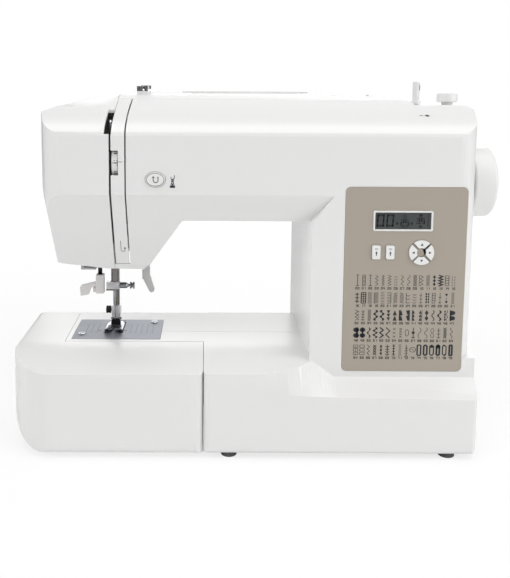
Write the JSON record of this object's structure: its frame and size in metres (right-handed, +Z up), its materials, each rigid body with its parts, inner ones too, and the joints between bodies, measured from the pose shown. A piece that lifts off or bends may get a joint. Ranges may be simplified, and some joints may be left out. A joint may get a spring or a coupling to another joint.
{
  "type": "sewing machine",
  "caption": "Computerised free-arm sewing machine with a push-button stitch panel, a slide-off extension table, a handwheel, a presser foot and a front hook behind a door.",
  "frame": {"origin": "centre of the footprint on the surface the machine stands on", "axes": "+X towards the handwheel, -Y towards the user, +Z up"},
  "size_m": [0.4166, 0.175, 0.304],
  "materials": {
    "white_cover": "glossy",
    "white_small": "glossy",
    "white_satin": "satin",
    "panel": "satin",
    "lcd": "glossy",
    "board": "matt",
    "plate_steel": "brushed",
    "bright_steel": "polished",
    "steel": "turned",
    "dark_screw": "blackened",
    "guide_metal": "satin",
    "casting": "as cast",
    "bronze": "sintered",
    "black_plastic": "matt",
    "grey_plastic": "matt",
    "belt_rubber": "matt",
    "foot_rubber": "matt",
    "motor_case": "satin",
    "base_metal": "satin",
    "pulley_plastic": "satin"
  },
  "bodies": {
    "machine": {"face_cover": "white_cover", "channel_strip": "white_cover", "front_cover": "white_cover", "rear_cover": "white_cover", "base_plate": "base_metal", "rubber_feet": "foot_rubber", "screws": "steel", "frame_casting": "casting", "needle_plate": "plate_steel", "bushes": "bronze", "thread_guides": "guide_metal", "motor": "motor_case", "motor_belt": "belt_rubber", "timing_belt": "belt_rubber", "hook_race": "steel", "bobbin_case": "bright_steel", "control_panel": "panel", "display_bezel": "white_small", "display": "lcd", "circuit_board": "board", "power_socket": "black_plastic", "winder_stop": "white_small", "spool_pin": "white_satin", "presser_spring": "steel"},
    "table": {"extension_table": "white_cover"},
    "hook_door": {"bobbin_door": "white_cover"},
    "drive": {"handwheel": "white_small", "arm_shaft": "steel", "crank_disc": "steel", "arm_pulley": "pulley_plastic"},
    "lower": {"lower_shaft": "steel"},
    "motor_rotor": {"motor_pulley": "steel"},
    "needle_unit": {"needle_bar": "steel", "needle_clamp": "steel", "clamp_screw": "steel", "needle": "bright_steel"},
    "presser_unit": {"presser_bar": "steel", "presser_ankle": "steel", "ankle_screw": "dark_screw", "presser_foot": "bright_steel"},
    "lifter": {"lifter_lever": "white_small"},
    "threader": {"needle_threader": "white_small"},
    "take_up": {"take_up_lever": "bright_steel"},
    "tension": {"tension_dial": "white_satin"},
    "feed": {"feed_dogs": "plate_steel", "feed_bar": "steel"},
    "hook": {"shuttle_hook": "bright_steel"},
    "bobbin_spool": {"bobbin": "bright_steel"},
    "reverse": {"reverse_button": "white_small"},
    "key_select_left": {"select_key_left": "white_small"},
    "key_select_right": {"select_key_right": "white_small"},
    "key_up": {"arrow_key_up": "white_small"},
    "key_down": {"arrow_key_down": "white_small"},
    "key_left": {"arrow_key_left": "white_small"},
    "key_right": {"arrow_key_right": "white_small"},
    "winder": {"winder_arm": "steel"},
    "winder_post": {"winder_spindle": "bright_steel"},
    "spool_stop": {"spool_cap": "white_satin"},
    "handle": {"carry_handle": "white_satin"},
    "rocker": {"power_switch": "black_plastic"}
  },
  "joints": [
    {"name": "table_slide", "type": "slide", "parent": "machine", "child": "table", "axis": [-1, 0, 0], "range_m": [0, 0.14]},
    {"name": "door_hinge", "type": "hinge", "parent": "machine", "child": "hook_door", "pos_m": [-0.12825, -0.02925, 0.02775], "axis": [1, 0, 0], "range_deg": [0, 85]},
    {"name": "handwheel_spin", "type": "hinge", "parent": "machine", "child": "drive", "pos_m": [0.18645, 0.0075, 0.2154], "axis": [1, 0, 0], "continuous": true},
    {"name": "lower_shaft_spin", "type": "hinge", "parent": "machine", "child": "lower", "pos_m": [-0.00825, 0.0275, 0.048], "axis": [1, 0, 0], "continuous": true},
    {"name": "motor_spin", "type": "hinge", "parent": "machine", "child": "motor_rotor", "pos_m": [0.13175, 0.0135, 0.112], "axis": [1, 0, 0], "continuous": true},
    {"name": "needle_bar_slide", "type": "slide", "parent": "machine", "child": "needle_unit", "axis": [0, 0, -1], "range_m": [0, 0.026]},
    {"name": "presser_lift", "type": "slide", "parent": "machine", "child": "presser_unit", "axis": [0, 0, 1], "range_m": [0, 0.006], "deforming": ["presser_spring"]},
    {"name": "lifter_turn", "type": "hinge", "parent": "machine", "child": "lifter", "pos_m": [-0.10125, 0.0275, 0.167], "axis": [1, 0, 0], "range_deg": [0, 70]},
    {"name": "threader_press", "type": "slide", "parent": "machine", "child": "threader", "axis": [0, 0, -1], "range_m": [0, 0.012], "stiffness_N_per_m": 60, "springref_m": -0.004},
    {"name": "take_up_swing", "type": "hinge", "parent": "machine", "child": "take_up", "pos_m": [-0.11825, -0.0065, 0.2344], "axis": [1, 0, 0], "range_deg": [0, 40]},
    {"name": "tension_turn", "type": "hinge", "parent": "machine", "child": "tension", "pos_m": [-0.11825, -0.0507, 0.2377], "axis": [1, 0, 0], "range_deg": [-150, 150]},
    {"name": "feed_slide", "type": "slide", "parent": "machine", "child": "feed", "axis": [0, 1, 0], "range_m": [-0.002, 0.002]},
    {"name": "hook_swing", "type": "hinge", "parent": "machine", "child": "hook", "pos_m": [-0.12825, 0.0075, 0.048], "axis": [0, 1, 0], "range_deg": [-100, 100]},
    {"name": "bobbin_spin", "type": "hinge", "parent": "machine", "child": "bobbin_spool", "pos_m": [-0.12825, -0.0025, 0.048], "axis": [0, 1, 0], "continuous": true},
    {"name": "reverse_press", "type": "slide", "parent": "machine", "child": "reverse", "axis": [0, 1, 0], "range_m": [0, 0.003], "stiffness_N_per_m": 300},
    {"name": "key_select_left_press", "type": "slide", "parent": "machine", "child": "key_select_left", "axis": [0, 1, 0], "range_m": [0, 0.0008], "stiffness_N_per_m": 500},
    {"name": "key_select_right_press", "type": "slide", "parent": "machine", "child": "key_select_right", "axis": [0, 1, 0], "range_m": [0, 0.0008], "stiffness_N_per_m": 500},
    {"name": "key_up_press", "type": "slide", "parent": "machine", "child": "key_up", "axis": [0, 1, 0], "range_m": [0, 0.0008], "stiffness_N_per_m": 500},
    {"name": "key_down_press", "type": "slide", "parent": "machine", "child": "key_down", "axis": [0, 1, 0], "range_m": [0, 0.0008], "stiffness_N_per_m": 500},
    {"name": "key_left_press", "type": "slide", "parent": "machine", "child": "key_left", "axis": [0, 1, 0], "range_m": [0, 0.0008], "stiffness_N_per_m": 500},
    {"name": "key_right_press", "type": "slide", "parent": "machine", "child": "key_right", "axis": [0, 1, 0], "range_m": [0, 0.0008], "stiffness_N_per_m": 500},
    {"name": "winder_shift", "type": "slide", "parent": "machine", "child": "winder", "axis": [1, 0, 0], "range_m": [0, 0.006]},
    {"name": "winder_spin", "type": "hinge", "parent": "winder", "child": "winder_post", "pos_m": [0.14065, 0.0075, 0.284], "axis": [0, 0, 1], "continuous": true},
    {"name": "spool_cap_slide", "type": "slide", "parent": "machine", "child": "spool_stop", "axis": [1, 0, 0], "range_m": [-0.03, 0.012]},
    {"name": "handle_turn", "type": "hinge", "parent": "machine", "child": "handle", "pos_m": [-0.00825, 0.0475, 0.2855], "axis": [-1, 0, 0], "range_deg": [0, 90]},
    {"name": "rocker_turn", "type": "hinge", "parent": "machine", "child": "rocker", "pos_m": [0.1852, 0.0375, 0.0605], "axis": [0, 1, 0], "range_deg": [0, 16]}
  ],
  "couplings": [
    {"joint": "lower_shaft_spin", "follows": "handwheel_spin", "ratio": 1},
    {"joint": "motor_spin", "follows": "handwheel_spin", "ratio": 4.1292},
    {"joint": "lifter_turn", "follows": "presser_lift", "rad_per_m": 203.6}
  ]
}
